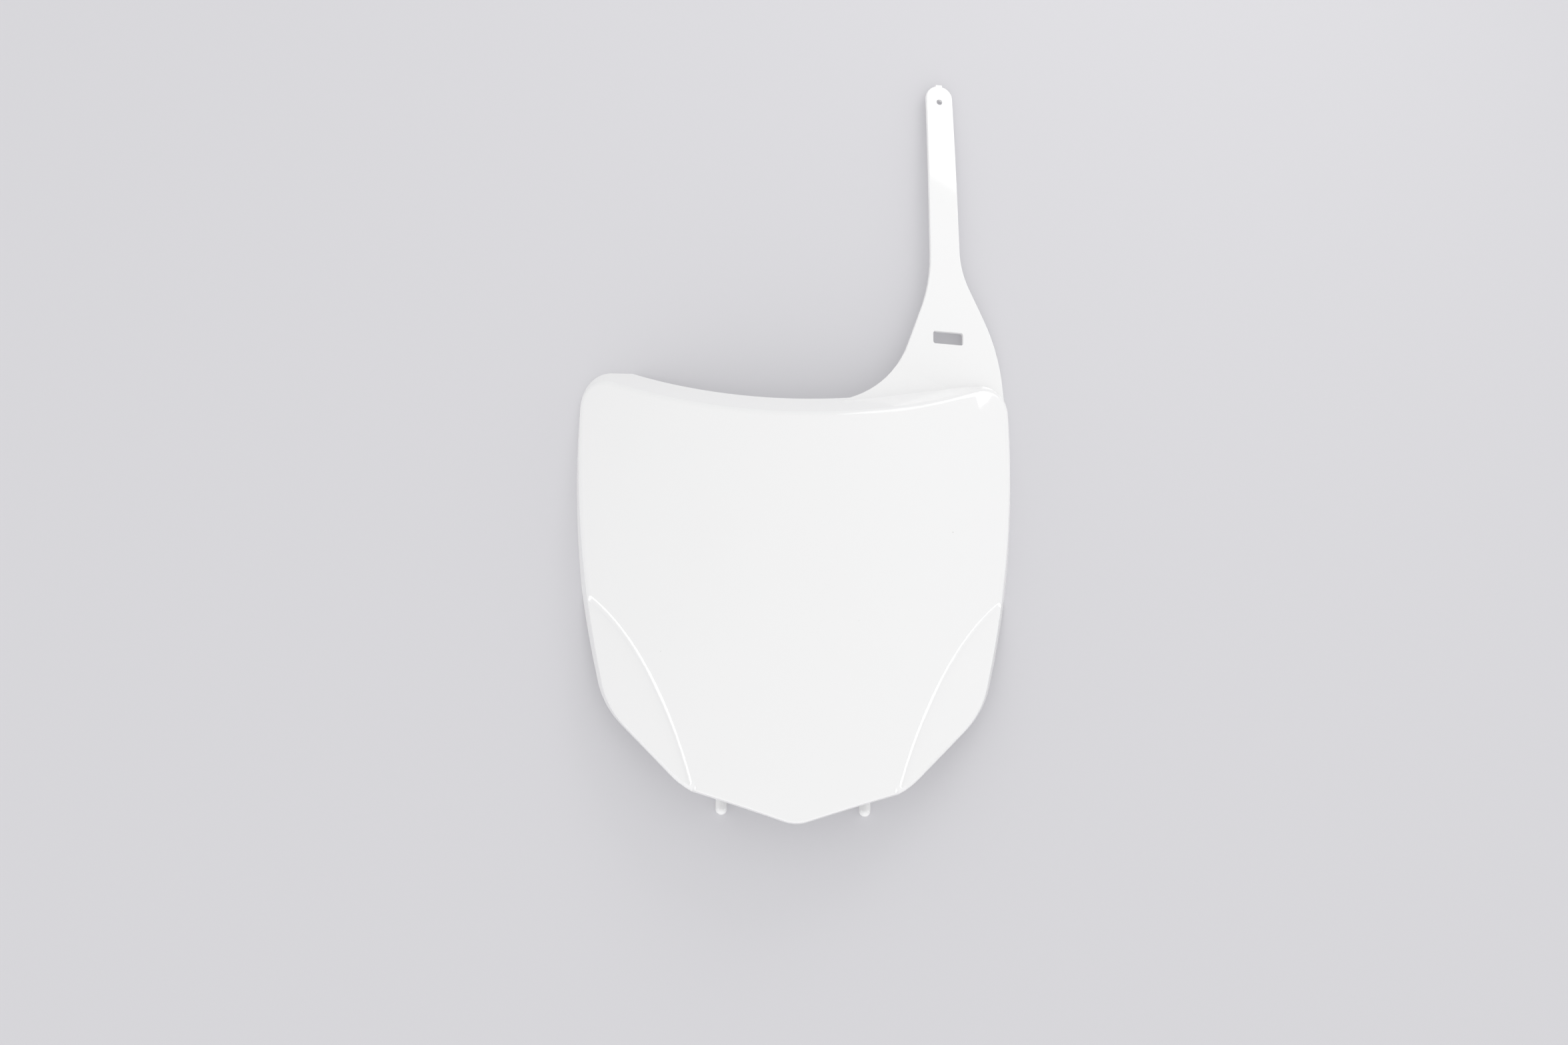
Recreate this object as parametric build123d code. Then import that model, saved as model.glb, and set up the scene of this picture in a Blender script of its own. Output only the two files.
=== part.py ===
from build123d import *
import math
import os

# Racing number board: one thin moulding, drawn as it lies on its back with the face up.
# X runs across the board, Y from the lower point towards the strap, Z out of the face.
# The lower point is drawn near Y = 0 and the floor at Z = 0, all in millimetres.

# Skin of the face, curved across and arched along
wall = 2.2
crown_height = 43.6
side_height = 6.5
arch_radius = 900.0
arch_centre_y = 128.0

# Outline, with the sides measured at the floor
board_width = 240.0
widest_y = 205.0
side_radius = 600.0
side_draft = 10.0
point_radius = 20.0
point_edge_radius = 1.0
notch_x = 54.5
notch_y = 18.4
bend_x = 66.5
bend_y = 27.9
cheek_edge_angle = 47.0
lower_corner_radius = 45.0

# Sloping lip along the top, rolled edges and the depth of the rim
lip_foot_y = 257.0
lip_angle = 49.8
lip_depth = 13.4
lip_corner_radius = 18.5
crest_radius = 5.5
rim_depth = 4.0
rim_growth = 0.06

# Recessed cheeks, with their crease walls drawn where the slope would meet the floor
crease_low_inset = 35.3
crease_low_y = 5.0
crease_high_inset = 3.0
crease_high_y = 95.6
crease_radius = 2607.0
crease_slope = 48.0
cheek_depth = 1.1

# Strap, drawn about its middle line on a plane that leans to the right and bends back towards the tip
strap_inset = 37.44
strap_level = 9.52
strap_lean = 11.7
strap_thickness = 2.2
strap_edge_radius = 0.5
strap_bend_y = 300.0
tip_drop = 5.5
root_left_x = -72.2
root_left_y = 230.9
root_right_x = 35.8
root_right_y = 231.7
web_left_x = -29.6
web_left_y = 249.5
web_left_radius = 60.0
web_right_x = 32.6
web_right_y = 272.7
web_right_radius = 115.0
neck_left_x = -7.2
neck_left_y = 311.4
neck_left_radius = 95.0
neck_right_x = 10.1
neck_right_y = 319.4
neck_right_radius = 56.0
tip_y = 432.5
tip_width = 15.3
gate_width = 3.7
gate_height = 0.7

# Web at the strap's root, folded up towards the lip along a line that runs out at the left edge
fold_root_x = 3.0
fold_root_y = 249.5
fold_edge_x = -24.9
fold_edge_y = 259.0
fold_angle = 6.25

# Slot and hole through the strap
slot_x = 2.5
slot_y = 278.9
slot_width = 17.4
slot_height = 7.3
slot_corner = 1.3
hole_inset = 10.1
hole_diameter = 3.4

# Locating pegs that lie on the floor, and the feet and ribs that carry them
peg_x = 38.4
peg_diameter = 6.2
peg_tip_y = 9.9
peg_free_y = 26.0
peg_root_y = 45.0
foot_shoulder = 0.9
rib_thickness = 3.0
rib_front_y = 20.0
rib_back_y = 75.0

# Radius across the face, which falls from the crown to the height of the sides where the board is widest
arch_fall = arch_radius - math.sqrt(arch_radius**2 - (widest_y - arch_centre_y) ** 2)
side_fall = crown_height - side_height - arch_fall
cross_radius = ((board_width / 2) ** 2 + side_fall**2) / (2 * side_fall)

# Radius of the strap's bend, which lowers the tip by its drop
strap_bend_radius = ((tip_y - strap_bend_y) ** 2 + tip_drop**2) / (2 * tip_drop)

# Room that the drawing solids need past the board
beyond = 60.0
tall = 80.0
far_y = lip_foot_y + beyond
far_x = board_width / 2 + beyond


def barrel(drop):
    """Solid under the face, bounded by a surface parallel to it and lowered by drop."""
    axis_z = crown_height - cross_radius
    crown = crown_height - drop
    radius = arch_radius - drop
    reach = arch_centre_y + beyond
    sag = radius - math.sqrt(radius**2 - reach**2)
    low = arch_centre_y - reach
    high = arch_centre_y + reach
    arc = ThreePointArc((0, low, crown - sag), (0, arch_centre_y, crown), (0, high, crown - sag))
    rest = Polyline((0, high, crown - sag), (0, high, axis_z), (0, low, axis_z), (0, low, crown - sag))
    return revolve(make_face([arc, rest]), Axis((0, 0, axis_z), (0, 1, 0)), 360)


def side_block(inset):
    """Block between the two bowed, drafted sides."""
    half = board_width / 2 - inset / math.cos(math.radians(side_draft))
    centre_x = half - side_radius
    top_x = centre_x + math.sqrt(side_radius**2 - (far_y - widest_y) ** 2)
    low_x = centre_x + math.sqrt(side_radius**2 - (beyond + widest_y) ** 2)
    right = ThreePointArc((low_x, -beyond), (half, widest_y), (top_x, far_y))
    left = ThreePointArc((-low_x, -beyond), (-half, widest_y), (-top_x, far_y))
    top = Line((-top_x, far_y), (top_x, far_y))
    low = Line((-low_x, -beyond), (low_x, -beyond))
    return extrude(make_face([right, top, left, low]), tall, taper=side_draft)


def lower_block(inset):
    """Block above the blunt lower point and the two slanting cheek edges."""
    turn = math.radians(cheek_edge_angle)
    slope = notch_y / notch_x
    point = math.atan(slope)
    flat = point_radius * math.sin(point)
    lift = flat * slope - point_radius * (1 - math.cos(point))
    end_y = bend_y + (far_x - bend_x) * math.tan(turn)
    lines = [
        ThreePointArc((-flat, flat * slope), (0, lift), (flat, flat * slope)),
        Line((-far_x, far_y), (far_x, far_y)),
    ]
    for side in (1, -1):
        bend = (side * bend_x, bend_y)
        notch = (side * notch_x, notch_y)
        lines.append(Line((side * flat, flat * slope), notch))
        lines.append(TangentArc(bend, notch, tangent=(-side * math.cos(turn), -math.sin(turn))))
        lines.append(Polyline(bend, (side * far_x, end_y), (side * far_x, far_y)))
    face = make_face(lines)
    if inset:
        face = offset(face, -inset, kind=Kind.INTERSECTION)
    return extrude(face, tall)


def past_lip(inset):
    """Everything past the sloping plane of the lip."""
    slope = math.radians(lip_angle)
    foot = (0, lip_foot_y - inset / math.sin(slope), 0)
    plane = Plane(origin=foot, x_dir=(1, 0, 0), z_dir=(0, math.sin(slope), math.cos(slope)))
    return plane * Box(4 * far_x, 4 * far_x, 4 * tall, align=(Align.CENTER, Align.CENTER, Align.MIN))


def corner_edges(block, upper):
    """Steep edges at the upper or the lower outer corners of a block."""
    edges = block.edges().filter_by(lambda edge: abs(edge.center().X) > bend_x)
    steep = edges.filter_by(lambda edge: abs(edge.tangent_at(0.5).Z) > 0.3)
    return steep.filter_by(lambda edge: (edge.center().Y > widest_y) == upper)


def blank(inset):
    """Block with the outline of the board and its rounded corners, moved in by inset."""
    block = side_block(inset) & lower_block(inset)
    block = fillet(corner_edges(block, False), lower_corner_radius - inset)
    block = block - past_lip(inset)
    return fillet(corner_edges(block, True), lip_corner_radius - inset)


def cheeks(drop):
    """What the two recessed cheeks take off a surface lowered by drop, with sloping crease walls."""
    low = (board_width / 2 - crease_low_inset, crease_low_y)
    high = (board_width / 2 - crease_high_inset, crease_high_y)
    crease = RadiusArc(low, high, crease_radius)
    base = Pos(*crease.arc_center) * Circle(crease_radius + drop / math.cos(math.radians(crease_slope)))
    right = extrude(base, tall, taper=-crease_slope) - barrel(drop + cheek_depth)
    return right + mirror(right, Plane.YZ)


def form(drop):
    """Solid under the face lowered by drop, with a rolled edge and the recessed cheeks."""
    body = blank(drop) & barrel(drop)
    front = body.faces().filter_by(GeomType.REVOLUTION)[0]
    crest = front.edges().filter_by(lambda edge: edge.center().Y > notch_y)
    return fillet(crest, crest_radius - drop) - cheeks(drop)


def front():
    """Outer solid, with the edge of the lower point rounded."""
    body = form(0)
    face = body.faces().filter_by(GeomType.REVOLUTION).sort_by(SortBy.AREA)[-1]
    edge = face.edges().filter_by(lambda edge: edge.center().Y < notch_y)
    return fillet(edge, point_edge_radius)


def rim_waste():
    """What lies below the rims of the sides, cheeks and point, and below the rim of the lip."""
    tilt = Rot(X=-math.degrees(math.atan(rim_growth)))
    width = board_width - 2 * lip_corner_radius
    room = Box(width, far_y, 4 * tall, align=(Align.CENTER, Align.MIN, Align.CENTER))
    return tilt * barrel(rim_depth) + (barrel(lip_depth) & Pos(0, widest_y, 0) * room)


def strap_plane():
    """Plane of the strap's upper surface, leaning to the right."""
    lean = math.radians(strap_lean)
    middle = (board_width / 2 - strap_inset, 0, strap_level)
    across = (math.cos(lean), 0, -math.sin(lean))
    return Plane(origin=middle, x_dir=across, z_dir=(math.sin(lean), 0, math.cos(lean)))


def strap_outline():
    """Outline of the strap from its wide root to the rounded tip, with the slot."""
    tip_round = 0.49 * tip_width
    corners = {
        (web_left_x, web_left_y): web_left_radius,
        (neck_left_x, neck_left_y): neck_left_radius,
        (-tip_width / 2, tip_y): tip_round,
        (tip_width / 2, tip_y): tip_round,
        (neck_right_x, neck_right_y): neck_right_radius,
        (web_right_x, web_right_y): web_right_radius,
    }
    path = Polyline((root_left_x, root_left_y), *corners, (root_right_x, root_right_y), close=True)
    outline = make_face(path)
    for point, radius in corners.items():
        outline = fillet(outline.vertices().sort_by_distance(point)[0], radius)
    slot = Pos(slot_x, slot_y) * RectangleRounded(slot_width, slot_height, slot_corner)
    return outline - slot


def strap_sheet():
    """Sheet of even thickness: the folded-up web, the flat run and the part that bends back."""
    inner_radius = strap_bend_radius - strap_thickness
    turn = math.asin((tip_y + beyond - strap_bend_y) / inner_radius)
    ends = []
    for radius in (strap_bend_radius, inner_radius):
        ends.append((strap_bend_y + radius * math.sin(turn), radius * math.cos(turn) - strap_bend_radius))
    top = TangentArc((strap_bend_y, 0), ends[0], tangent=(1, 0))
    low = TangentArc((strap_bend_y, -strap_thickness), ends[1], tangent=(1, 0))
    flat = Polyline((strap_bend_y, 0), (0, 0), (0, -strap_thickness), (strap_bend_y, -strap_thickness))
    plane = strap_plane()
    section = Plane(origin=plane.origin, x_dir=plane.y_dir, z_dir=plane.x_dir)
    sheet = extrude(section * make_face([top, low, flat, Line(*ends)]), 2 * far_x, both=True)
    root = plane.from_local_coords((fold_root_x, fold_root_y, 0))
    along = plane.from_local_coords((fold_edge_x, fold_edge_y, 0)) - root
    fold = Plane(origin=root, x_dir=along.cross(plane.z_dir) * -1, z_dir=along)
    rise = far_x * math.tan(math.radians(fold_angle))
    web = Polyline((0, 0), (far_x, rise), (far_x, rise - strap_thickness), (0, -strap_thickness), close=True)
    behind = Box(2 * far_y, 2 * tall, 4 * far_y, align=(Align.MIN, Align.CENTER, Align.CENTER))
    return sheet - fold * behind + extrude(fold * make_face(web), 2 * far_x, both=True)


def rounded(cut):
    """Strap with the upper edge of its outline rounded, from the right root round the tip to the fold."""
    plane = strap_plane()
    slants = [(face, face.normal_at().dot(plane.z_dir)) for face in cut.faces()]
    tops = ShapeList(face for face, slant in slants if slant > 0.9).edges()
    walls = ShapeList(face for face, slant in slants if abs(slant) < 0.01).edges()
    right = slot_x + slot_width / 2 + slot_corner
    rim = tops.filter_by(lambda edge: edge in walls and plane.to_local_coords(edge.center()).X > right)
    return fillet(rim, strap_edge_radius)


def strap():
    """Strap cut from the folded and bent sheet, with its gate stub and hole, no lower than the floor."""
    plane = strap_plane()
    sheet = strap_sheet()
    cut = rounded(extrude(plane * strap_outline(), tall, both=True) & sheet)
    gate = extrude(plane * Pos(0, tip_y) * Rectangle(gate_width, 2 * gate_height), tall, both=True)
    hole = plane * Pos(0, tip_y - hole_inset) * Cylinder(hole_diameter / 2, 2 * tall)
    room = Box(4 * far_x, 2 * (tip_y + beyond), tall, align=(Align.CENTER, Align.CENTER, Align.MIN))
    return (cut + (gate & sheet) - hole) & room


def peg(side):
    """Round-ended peg that lies on the floor, with the foot and the rib that carry it under the face."""
    radius = peg_diameter / 2
    start_y = peg_tip_y + radius
    centre = Pos(side * peg_x, start_y, radius)
    pin = Cylinder(radius, peg_free_y - start_y, align=(Align.CENTER, Align.CENTER, Align.MIN))
    foot_width = peg_diameter + 2 * foot_shoulder
    foot_length = peg_root_y - peg_free_y
    foot = Box(foot_width, foot_length, peg_diameter, align=(Align.CENTER, Align.MIN, Align.MIN))
    web = Polyline(
        (rib_front_y, crown_height),
        (peg_free_y + rib_thickness / 2, radius),
        (peg_root_y, radius),
        (rib_back_y, crown_height),
        close=True,
    )
    rib = extrude(Plane.YZ.offset(side * peg_x) * make_face(web), rib_thickness / 2, both=True)
    shaft = centre * Rot(X=-90) * pin + centre * Sphere(radius)
    return shaft + Pos(side * peg_x, peg_free_y, 0) * foot + (rib & barrel(wall / 2))


hollow = form(wall)
board = front() - hollow - rim_waste()
board = board + (strap() - hollow) + peg(1) + peg(-1)

# The finished board stands over the origin with its lowest points on the floor
box = board.bounding_box()
board = Pos(-box.center().X, -box.center().Y, -box.min.Z) * board

os.makedirs("parts", exist_ok=True)
export_step(board, "parts/number_board.step")
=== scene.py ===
import logging
import math
from dataclasses import dataclass, field
from enum import Enum

import bmesh
import bpy
from mathutils import Matrix, Vector


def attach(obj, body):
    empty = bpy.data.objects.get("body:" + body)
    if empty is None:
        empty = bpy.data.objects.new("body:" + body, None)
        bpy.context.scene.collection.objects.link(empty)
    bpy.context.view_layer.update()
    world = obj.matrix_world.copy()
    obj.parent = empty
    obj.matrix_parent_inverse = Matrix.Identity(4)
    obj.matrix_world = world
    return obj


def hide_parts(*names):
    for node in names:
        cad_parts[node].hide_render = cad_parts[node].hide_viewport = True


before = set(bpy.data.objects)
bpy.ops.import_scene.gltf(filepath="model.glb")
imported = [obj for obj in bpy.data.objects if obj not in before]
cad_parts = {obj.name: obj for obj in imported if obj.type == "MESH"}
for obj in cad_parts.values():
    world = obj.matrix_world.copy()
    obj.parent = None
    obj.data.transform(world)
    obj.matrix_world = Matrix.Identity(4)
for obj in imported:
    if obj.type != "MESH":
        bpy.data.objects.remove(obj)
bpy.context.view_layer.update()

logging.basicConfig(level=logging.INFO, format="%(message)s")
log = logging.getLogger("number_board")

MM = 0.001
Colour = tuple[float, float, float]
Point = tuple[float, float, float]
Value = bpy.types.NodeSocket | float


class Lamp(Enum):
    """The softboxes of the studio, by name."""

    KEY = "key_softbox"
    CREST = "crest_card"
    LEFT = "left_card"
    RIGHT = "right_card"


def node(tree: bpy.types.NodeTree, kind: str, **values: object) -> bpy.types.Node:
    """Add a shader node and set its properties and sockets.

    Args:
        tree: Node tree that takes the node.
        kind: Type name of the node.
        values: Property values by name, or socket values by the socket's name with spaces as underscores.

    Returns:
        The new node.
    """
    made = tree.nodes.new(kind)
    for name, value in values.items():
        if hasattr(made, name):
            setattr(made, name, value)
        else:
            made.inputs[name.replace("_", " ")].default_value = value
    return made


def first_colour(sockets: bpy.types.bpy_prop_collection) -> bpy.types.NodeSocket:
    """Find the first colour socket among a node's inputs or outputs."""
    return next(socket for socket in sockets if socket.type == "RGBA")


def combine(tree: bpy.types.NodeTree, operation: str, first: Value, second: Value) -> bpy.types.NodeSocket:
    """Combine two values by a mathematical operation.

    Args:
        tree: Node tree that takes the operation.
        operation: Name of the operation.
        first: First value, a socket or a number.
        second: Second value, a socket or a number.

    Returns:
        Socket with the result.
    """
    made = node(tree, "ShaderNodeMath", operation=operation)
    for taken, value in zip(made.inputs, (first, second)):
        if isinstance(value, bpy.types.NodeSocket):
            tree.links.new(value, taken)
        else:
            taken.default_value = value
    return made.outputs["Value"]


def mix(
    tree: bpy.types.NodeTree, base: Colour, top: Colour, share: bpy.types.NodeSocket
) -> bpy.types.NodeSocket:
    """Mix two colours by a share that comes from another node.

    Args:
        tree: Node tree that takes the mix.
        base: Colour where the share is zero.
        top: Colour where the share is one.
        share: Socket that gives the share.

    Returns:
        Socket with the mixed colour.
    """
    made = node(tree, "ShaderNodeMix", data_type="RGBA")
    pair = [socket for socket in made.inputs if socket.type == "RGBA"]
    pair[0].default_value = (*base, 1.0)
    pair[1].default_value = (*top, 1.0)
    tree.links.new(share, made.inputs["Factor"])
    return first_colour(made.outputs)


@dataclass(frozen=True)
class GlossPlastic:
    """Glossy white plastic as it leaves the mould, with a faint flow in its colour and a few dust specks."""

    name: str = "gloss_white_plastic"
    colour: Colour = (0.90, 0.90, 0.90)
    flow_colour: Colour = (0.885, 0.885, 0.885)
    flow_scale: float = 14.0
    flow_detail: float = 3.0
    roughness: float = 0.05
    roughness_spread: float = 0.015
    index: float = 1.49
    speck_colour: Colour = (0.42, 0.41, 0.39)
    speck_scale: float = 95.0
    speck_size: float = 0.024
    speck_share: float = 0.14

    def make(self) -> bpy.types.Material:
        """Build the material's nodes.

        Returns:
            The finished material.
        """
        material = bpy.data.materials.new(self.name)
        material.use_nodes = True
        tree = material.node_tree
        link = tree.links.new
        shader = tree.nodes["Principled BSDF"]
        shader.inputs["IOR"].default_value = self.index
        place = node(tree, "ShaderNodeTexCoord").outputs["Object"]
        flow = node(tree, "ShaderNodeTexNoise", Scale=self.flow_scale, Detail=self.flow_detail)
        link(place, flow.inputs["Vector"])
        plastic = mix(tree, self.colour, self.flow_colour, flow.outputs["Fac"])
        dusty = mix(tree, self.colour, self.speck_colour, self.speck_mask(tree, place))
        link(plastic, first_colour(dusty.node.inputs))
        link(dusty, shader.inputs["Base Color"])
        low, high = self.roughness - self.roughness_spread, self.roughness + self.roughness_spread
        gloss = node(tree, "ShaderNodeMapRange", To_Min=low, To_Max=high)
        link(flow.outputs["Fac"], gloss.inputs["Value"])
        link(gloss.outputs["Result"], shader.inputs["Roughness"])
        return material

    def speck_mask(self, tree: bpy.types.NodeTree, place: bpy.types.NodeSocket) -> bpy.types.NodeSocket:
        """Mask a few tiny specks that lie at random on the surface.

        Args:
            tree: Node tree of the material.
            place: Socket with the point on the object.

        Returns:
            Socket that is one inside a speck and zero elsewhere.
        """
        cells = node(tree, "ShaderNodeTexVoronoi", Scale=self.speck_scale)
        tree.links.new(place, cells.inputs["Vector"])
        lot = node(tree, "ShaderNodeSeparateColor")
        tree.links.new(cells.outputs["Color"], lot.inputs["Color"])
        near = combine(tree, "LESS_THAN", cells.outputs["Distance"], self.speck_size)
        drawn = combine(tree, "LESS_THAN", lot.outputs["Red"], self.speck_share)
        return combine(tree, "MULTIPLY", near, drawn)


@dataclass(frozen=True)
class PaleFloor:
    """Plain pale shooting table, lit a little from below so that the shadows stay soft."""

    name: str = "pale_floor"
    colour: Colour = (0.532, 0.528, 0.549)
    glow: Colour = (0.160, 0.159, 0.164)
    roughness: float = 0.9

    def make(self) -> bpy.types.Material:
        """Build the material's nodes.

        Returns:
            The finished material.
        """
        material = bpy.data.materials.new(self.name)
        material.use_nodes = True
        shader = material.node_tree.nodes["Principled BSDF"]
        shader.inputs["Base Color"].default_value = (*self.colour, 1.0)
        shader.inputs["Roughness"].default_value = self.roughness
        shader.inputs["Specular IOR Level"].default_value = 0.0
        shader.inputs["Emission Color"].default_value = (*self.glow, 1.0)
        shader.inputs["Emission Strength"].default_value = 1.0
        return material


@dataclass(frozen=True)
class Crease:
    """Sloping wall of a cheek's crease, a cone about an upright axis, mirrored on the other side.

    Lengths are in millimetres and the slope in degrees.
    """

    axis_x: float = 2556.0435
    axis_y: float = -1042.1608
    radius: float = 2607.0
    slope: float = 48.0
    wall: float = 2.2
    margin: float = 0.02

    def holds(self, point: Vector) -> bool:
        """Say whether a point lies on the outer or the inner crease wall.

        Args:
            point: Point in the frame, in metres.

        Returns:
            True where the point lies on one of the walls.
        """
        turn = math.radians(self.slope)
        reach = math.hypot(abs(point.x) / MM - self.axis_x, point.y / MM - self.axis_y)
        outer = reach - self.radius - point.z / MM * math.tan(turn)
        return min(abs(outer), abs(outer - self.wall / math.cos(turn))) < self.margin


@dataclass(frozen=True)
class Fold:
    """Line along which the strap's web folds up, on the plane of the strap.

    Lengths are in millimetres and the lean in degrees. The line's ends are given across and along the strap.
    """

    middle_x: float = 82.56
    level: float = 9.52
    lean: float = 11.7
    start: tuple[float, float] = (3.0, 32.34546)
    end: tuple[float, float] = (-24.9, 41.84546)
    margin: float = 0.02

    def holds(self, point: Vector) -> bool:
        """Say whether a point lies on the fold, on the upper or the under side.

        Args:
            point: Point in the frame, in metres.

        Returns:
            True where the point lies on the fold.
        """
        turn = math.radians(self.lean)
        beside, above = point.x / MM - self.middle_x, point.z / MM - self.level
        across = beside * math.cos(turn) - above * math.sin(turn)
        line = Vector(self.end) - Vector(self.start)
        off = Vector((across, point.y / MM)) - Vector(self.start)
        return abs(line.normalized().cross(off)) < self.margin


@dataclass
class NumberBoard:
    """The moulded board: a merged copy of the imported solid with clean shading, in glossy white plastic."""

    piece: str = "number_board_shell"
    cad_node: str = "number_board"
    slot: str = "shell"
    merge_gap: float = 0.002 * MM
    sharp_angle: float = math.radians(28.0)
    line_angle: float = math.radians(3.0)
    width_power: int = 4
    crease: Crease = field(default_factory=Crease)
    fold: Fold = field(default_factory=Fold)
    finish: GlossPlastic = field(default_factory=GlossPlastic)

    def build(self) -> bpy.types.Object:
        """Copy the solid's mesh, merge its triangles and shade it.

        Returns:
            The new piece.
        """
        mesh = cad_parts[self.cad_node].data.copy()
        mesh.name = self.piece
        mesh.materials.clear()
        work = bmesh.new()
        work.from_mesh(mesh)
        widths = self.mark_patches(work)
        bmesh.ops.remove_doubles(work, verts=work.verts, dist=self.merge_gap)
        self.mark_edges(work)
        normals = self.even_normals(work, widths)
        work.to_mesh(mesh)
        work.free()
        mesh.normals_split_custom_set(normals)
        piece = bpy.data.objects.new(self.piece, mesh)
        bpy.context.scene.collection.objects.link(piece)
        return piece

    def mark_patches(self, work: bmesh.types.BMesh) -> list[float]:
        """Number the patches of the unmerged mesh, each of them one smooth face of the solid.

        Args:
            work: Mesh whose patches still share no corner.

        Returns:
            Mean width of each patch.
        """
        patch = work.faces.layers.int.new("patch")
        widths: list[float] = []
        seen: set[bmesh.types.BMFace] = set()
        for first in work.faces:
            if first in seen:
                continue
            seen.add(first)
            members = [first]
            for face in members:
                face[patch] = len(widths)
                for edge in face.edges:
                    fresh = [other for other in edge.link_faces if other not in seen]
                    seen.update(fresh)
                    members.extend(fresh)
            area = sum(face.calc_area() for face in members)
            rim = sum(edge.calc_length() for face in members for edge in face.edges if edge.is_boundary)
            widths.append(2 * area / rim)
        return widths

    def mark_edges(self, work: bmesh.types.BMesh) -> None:
        """Mark the edges that stay sharp: steep borders of patches, the creases' crests and the fold.

        Args:
            work: Merged mesh with numbered patches.
        """
        patch = work.faces.layers.int["patch"]
        for face in work.faces:
            face.smooth = True
        for edge in work.edges:
            inside = len({face[patch] for face in edge.link_faces}) == 1
            crest = edge.is_convex and all(self.crease.holds(vert.co) for vert in edge.verts)
            folded = all(self.fold.holds(vert.co) for vert in edge.verts)
            limit = self.line_angle if crest or folded else self.sharp_angle
            edge.smooth = inside or edge.calc_face_angle(0.0) < limit

    def even_normals(self, work: bmesh.types.BMesh, widths: list[float]) -> list[Vector]:
        """Work out a normal for each corner, where broad patches rule the narrow rolls that run into them.

        Args:
            work: Merged mesh with its sharp edges marked.
            widths: Mean width of each patch.

        Returns:
            One normal for each corner, face by face.
        """
        patch = work.faces.layers.int["patch"]
        made: dict[bmesh.types.BMLoop, Vector] = {}
        for vert in work.verts:
            left = list(vert.link_loops)
            while left:
                fan = [left.pop()]
                for loop in fan:
                    soft = [edge for edge in (loop.edge, loop.link_loop_prev.edge) if edge.smooth]
                    joined = {face for edge in soft for face in edge.link_faces}
                    fresh = [other for other in left if other.face in joined]
                    left = [other for other in left if other not in fresh]
                    fan.extend(fresh)
                ranks = [(widths[loop.face[patch]] / MM) ** self.width_power for loop in fan]
                weights = [loop.calc_angle() * rank for loop, rank in zip(fan, ranks)]
                total = sum((loop.face.normal * weight for loop, weight in zip(fan, weights)), Vector())
                made.update((loop, total.normalized()) for loop in fan)
        return [made[loop] for face in work.faces for loop in face.loops]

    def dress(self, piece: bpy.types.Object) -> None:
        """Give the piece its finish and its place in the frame.

        Args:
            piece: The board's mesh object.
        """
        piece.data.materials.append(self.finish.make())
        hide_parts(self.cad_node)
        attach(piece, "root")


@dataclass
class Softbox:
    """One rectangular lamp that looks at a point, or a card that only shows in the gloss, in metres."""

    lamp: Lamp
    place: Point
    target: Point
    width: float
    height: float
    radiance: float
    card: bool = False

    def build(self) -> bpy.types.Object:
        """Make the area lamp.

        Returns:
            The lamp object.
        """
        data = bpy.data.lights.new(self.lamp.value, "AREA")
        data.shape = "RECTANGLE"
        data.size = self.width
        data.size_y = self.height
        data.energy = self.radiance * math.pi * self.width * self.height
        lamp = bpy.data.objects.new(self.lamp.value, data)
        aim = Vector(self.target) - Vector(self.place)
        lamp.rotation_euler = aim.to_track_quat("-Z", "Y").to_euler()
        lamp.location = self.place
        lamp.visible_camera = False
        lamp.visible_diffuse = not self.card
        bpy.context.scene.collection.objects.link(lamp)
        return lamp


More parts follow.
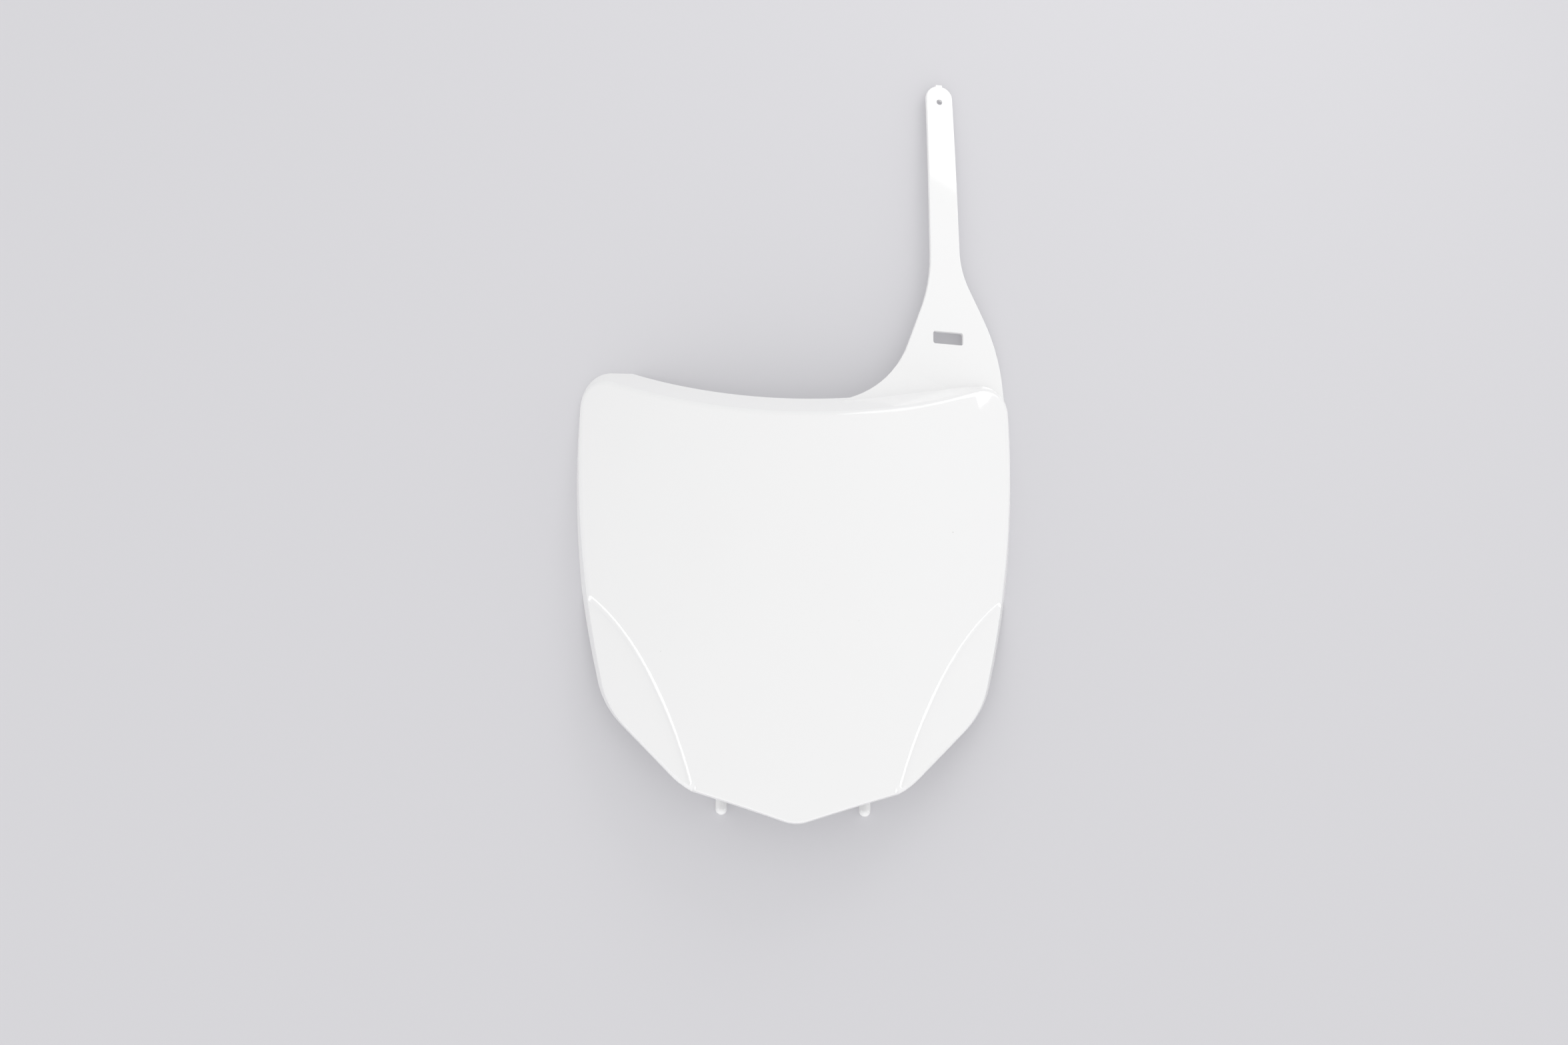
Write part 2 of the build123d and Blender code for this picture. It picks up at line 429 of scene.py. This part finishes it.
@dataclass
class Studio:
    """Pale floor, soft sky and softboxes, in metres."""

    floor_span: float = 16.0
    floor_finish: PaleFloor = field(default_factory=PaleFloor)
    backdrop: Colour = (0.70, 0.70, 0.725)
    sky_colour: Colour = (1.0, 1.0, 1.0)
    sky_level: float = 1.40
    sky_slant: Point = (0.0, -0.33, -0.67)
    softboxes: tuple[Softbox, ...] = (
        Softbox(
            Lamp.KEY, place=(0.345, 0.585, 0.44), target=(0.031, 0.197, 0.44),
            width=0.40, height=0.36, radiance=2.4,
        ),
        Softbox(
            Lamp.CREST, place=(0.493, 0.466, 0.185), target=(0.178, 0.077, 0.185),
            width=0.38, height=0.17, radiance=4.5, card=True,
        ),
        Softbox(
            Lamp.LEFT, place=(-1.5, -0.40, 0.60), target=(0.0, -0.40, 0.60),
            width=0.40, height=0.80, radiance=4.5, card=True,
        ),
        Softbox(
            Lamp.RIGHT, place=(1.5, -0.40, 0.46), target=(0.0, -0.40, 0.46),
            width=0.40, height=0.80, radiance=4.5, card=True,
        ),
    )

    def build_floor(self) -> bpy.types.Object:
        """Lay the floor under the board.

        Returns:
            The floor object.
        """
        mesh = bpy.data.meshes.new("studio_floor")
        work = bmesh.new()
        bmesh.ops.create_grid(work, x_segments=1, y_segments=1, size=self.floor_span / 2)
        work.to_mesh(mesh)
        work.free()
        mesh.materials.append(self.floor_finish.make())
        floor = bpy.data.objects.new("studio_floor", mesh)
        bpy.context.scene.collection.objects.link(floor)
        return floor

    def build_sky(self) -> bpy.types.World:
        """Make the soft sky, which the eye and the gloss see as the backdrop.

        Its light is stronger low down and in front, so that the board's shadow deepens all round.

        Returns:
            The world.
        """
        world = bpy.data.worlds.new("soft_sky")
        bpy.context.scene.world = world
        world.use_nodes = True
        tree = world.node_tree
        link = tree.links.new
        seen = tree.nodes["Background"]
        seen.inputs["Color"].default_value = (*self.backdrop, 1.0)
        seen.inputs["Strength"].default_value = 1.0
        light = node(tree, "ShaderNodeBackground", Color=(*self.sky_colour, 1.0))
        slant = node(tree, "ShaderNodeVectorMath", operation="DOT_PRODUCT")
        link(node(tree, "ShaderNodeTexCoord").outputs["Generated"], slant.inputs[0])
        slant.inputs[1].default_value = self.sky_slant
        link(combine(tree, "ADD", slant.outputs["Value"], self.sky_level), light.inputs["Strength"])
        rays = node(tree, "ShaderNodeLightPath").outputs
        direct = combine(tree, "MAXIMUM", rays["Is Camera Ray"], rays["Is Glossy Ray"])
        mixed = node(tree, "ShaderNodeMixShader")
        link(combine(tree, "MAXIMUM", direct, rays["Is Transmission Ray"]), mixed.inputs["Fac"])
        link(light.outputs["Background"], mixed.inputs[1])
        link(seen.outputs["Background"], mixed.inputs[2])
        link(mixed.outputs["Shader"], tree.nodes["World Output"].inputs["Surface"])
        return world

    def build(self) -> list[bpy.types.ID]:
        """Build everything that lights and carries the board.

        Returns:
            The floor, the world and the lamps.
        """
        bpy.context.scene.view_settings.view_transform = "Standard"
        return [self.build_floor(), self.build_sky(), *(softbox.build() for softbox in self.softboxes)]


@dataclass
class PhotoCamera:
    """Camera that looks down at the board from its lower side.

    Lengths are in millimetres, apart from the near clip in metres, and the turns about X, Y and Z in degrees.
    """

    pivot: Point = (0.0, -94.90454, 19.56)
    offset: Point = (6.31, -44.07, 0.0)
    turn: Point = (-15.0, 2.75, -0.36)
    distance: float = 1564.8
    lens: float = 66.63
    sensor: float = 36.0
    near_clip: float = 0.01

    def build(self) -> bpy.types.Object:
        """Make the camera and hand it to the scene.

        Returns:
            The camera object.
        """
        tilt, swing, roll = (math.radians(angle) for angle in self.turn)
        view = Matrix.Rotation(roll, 3, "Z") @ Matrix.Rotation(tilt, 3, "X") @ Matrix.Rotation(swing, 3, "Y")
        away = Vector((0.0, 0.0, self.distance)) - Vector(self.offset)
        eye = view.transposed() @ away + Vector(self.pivot)
        data = bpy.data.cameras.new("photo_camera")
        data.sensor_fit = "HORIZONTAL"
        data.sensor_width = self.sensor
        data.lens = self.lens
        data.clip_start = self.near_clip
        camera = bpy.data.objects.new("photo_camera", data)
        camera.matrix_world = Matrix.Translation(eye * MM) @ view.transposed().to_4x4()
        bpy.context.scene.collection.objects.link(camera)
        bpy.context.scene.camera = camera
        return camera


def main() -> None:
    """Build the board, the studio and the camera, and note the sizes."""
    board = NumberBoard()
    piece = board.build()
    board.dress(piece)
    log.info("%s: %d faces", piece.name, len(piece.data.polygons))
    for item in Studio().build():
        log.info("studio: %s", item.name)
    log.info("camera: %s", PhotoCamera().build().name)


if __name__ == "__main__":
    main()
